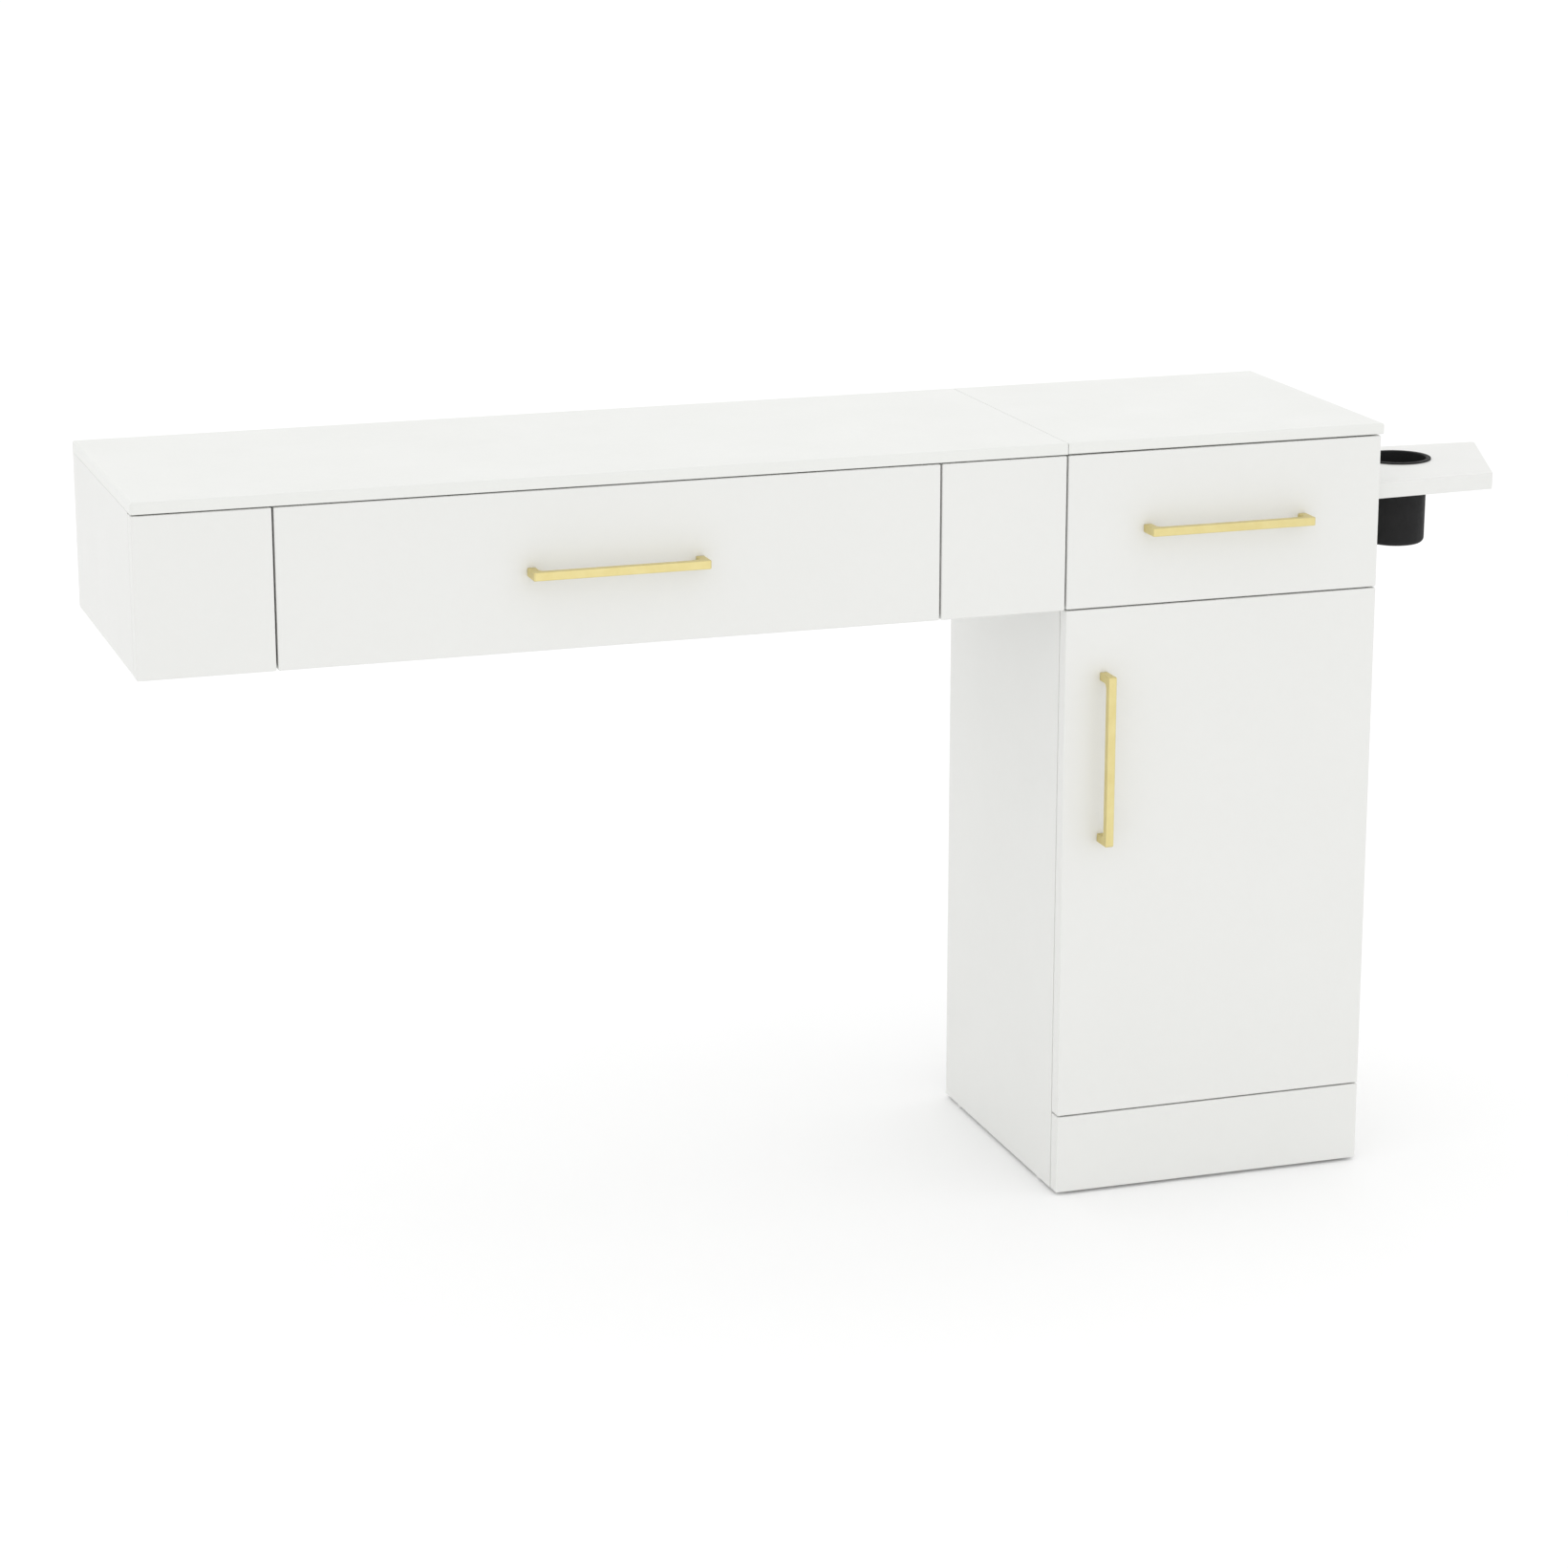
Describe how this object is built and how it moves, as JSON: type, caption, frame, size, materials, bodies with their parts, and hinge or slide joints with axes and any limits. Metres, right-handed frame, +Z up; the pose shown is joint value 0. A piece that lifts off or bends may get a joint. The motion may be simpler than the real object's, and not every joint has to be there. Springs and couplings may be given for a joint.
{
  "type": "manicure table",
  "caption": "White wall-fixed salon work table: a shallow beam with a wide drawer beside a floor-standing cupboard with a drawer, a door and a side board with a lift-out cup.",
  "frame": {"origin": "on the wall plane, at the middle of the rear face of the beam's back panel, at the beam's mid length and mid height", "axes": "+X along the beam towards the tower, +Y into the wall with the fronts facing -Y, +Z up; the floor is at z = -0.759"},
  "size_m": [1.5849, 0.3773, 0.85],
  "materials": {
    "white_top": "satin white laminate on a thin board, rounded edges",
    "white_board": "satin white laminate on board, rounded edges",
    "back_board": "thin white-faced hardboard",
    "drawer_box": "matte white-grey board",
    "gold": "satin pale gold anodised bar",
    "black_cup": "satin black moulding",
    "zinc_steel": "bright zinc-plated steel",
    "glide_plastic": "hard light-grey plastic"
  },
  "bodies": {
    "carcass": {"beam_top": "white_top", "beam_bottom": "white_board", "beam_left_side": "white_board", "beam_right_side": "white_board", "beam_back_panel": "white_board", "beam_left_divider": "white_board", "beam_right_divider": "white_board", "beam_left_front": "white_board", "beam_right_front": "white_board", "tower_top": "white_top", "tower_left_side": "white_board", "tower_right_side": "white_board", "tower_floor_panel": "white_board", "tower_mid_panel": "white_board", "tower_back_panel": "back_board", "tower_wall_rail": "white_board", "tower_shelf": "white_board", "toe_panel": "white_board", "glide_front_left": "glide_plastic", "glide_front_right": "glide_plastic", "glide_back_left": "glide_plastic", "glide_back_right": "glide_plastic", "holder_board": "white_board", "holder_screw_front": "zinc_steel", "holder_screw_back": "zinc_steel", "connector_bolt_front": "zinc_steel", "connector_bolt_back": "zinc_steel", "beam_drawer_left_slide_cabinet_member": "zinc_steel", "beam_drawer_right_slide_cabinet_member": "zinc_steel", "tower_drawer_left_slide_cabinet_member": "zinc_steel", "tower_drawer_right_slide_cabinet_member": "zinc_steel", "hinge_lower_frame_leaf": "zinc_steel", "hinge_lower_pin": "zinc_steel", "hinge_upper_frame_leaf": "zinc_steel", "hinge_upper_pin": "zinc_steel"},
    "door": {"door_panel": "white_board", "door_handle": "gold", "hinge_lower_door_leaf": "zinc_steel", "hinge_upper_door_leaf": "zinc_steel"},
    "tool_cup": {"tool_cup": "black_cup"},
    "beam_drawer": {"beam_drawer_front": "white_board", "beam_drawer_left_side": "drawer_box", "beam_drawer_right_side": "drawer_box", "beam_drawer_back": "drawer_box", "beam_drawer_bottom": "drawer_box", "beam_drawer_handle": "gold", "beam_drawer_left_slide_drawer_member": "zinc_steel", "beam_drawer_right_slide_drawer_member": "zinc_steel"},
    "beam_drawer_middles": {"beam_drawer_left_slide_middle_member": "zinc_steel", "beam_drawer_right_slide_middle_member": "zinc_steel"},
    "tower_drawer": {"tower_drawer_front": "white_board", "tower_drawer_left_side": "drawer_box", "tower_drawer_right_side": "drawer_box", "tower_drawer_back": "drawer_box", "tower_drawer_bottom": "drawer_box", "tower_drawer_handle": "gold", "tower_drawer_left_slide_drawer_member": "zinc_steel", "tower_drawer_right_slide_drawer_member": "zinc_steel"},
    "tower_drawer_middles": {"tower_drawer_left_slide_middle_member": "zinc_steel", "tower_drawer_right_slide_middle_member": "zinc_steel"}
  },
  "joints": [
    {"name": "beam_drawer_slide", "type": "slide", "parent": "carcass", "child": "beam_drawer", "axis": [0, -1, 0], "range_m": [0, 0.28]},
    {"name": "beam_drawer_middles_slide", "type": "slide", "parent": "carcass", "child": "beam_drawer_middles", "axis": [0, -1, 0], "range_m": [0, 0.14]},
    {"name": "tower_drawer_slide", "type": "slide", "parent": "carcass", "child": "tower_drawer", "axis": [0, -1, 0], "range_m": [0, 0.28]},
    {"name": "tower_drawer_middles_slide", "type": "slide", "parent": "carcass", "child": "tower_drawer_middles", "axis": [0, -1, 0], "range_m": [0, 0.14]},
    {"name": "door_swing", "type": "hinge", "parent": "carcass", "child": "door", "pos_m": [0.8694, -0.3311, -0.3785], "axis": [0, 0, 1], "range_deg": [0, 180]},
    {"name": "cup_lift", "type": "slide", "parent": "carcass", "child": "tool_cup", "axis": [0, 0, 1], "range_m": [0, 0.1]}
  ],
  "couplings": [
    {"joint": "beam_drawer_middles_slide", "follows": "beam_drawer_slide", "ratio": 0.5},
    {"joint": "tower_drawer_middles_slide", "follows": "tower_drawer_slide", "ratio": 0.5}
  ]
}
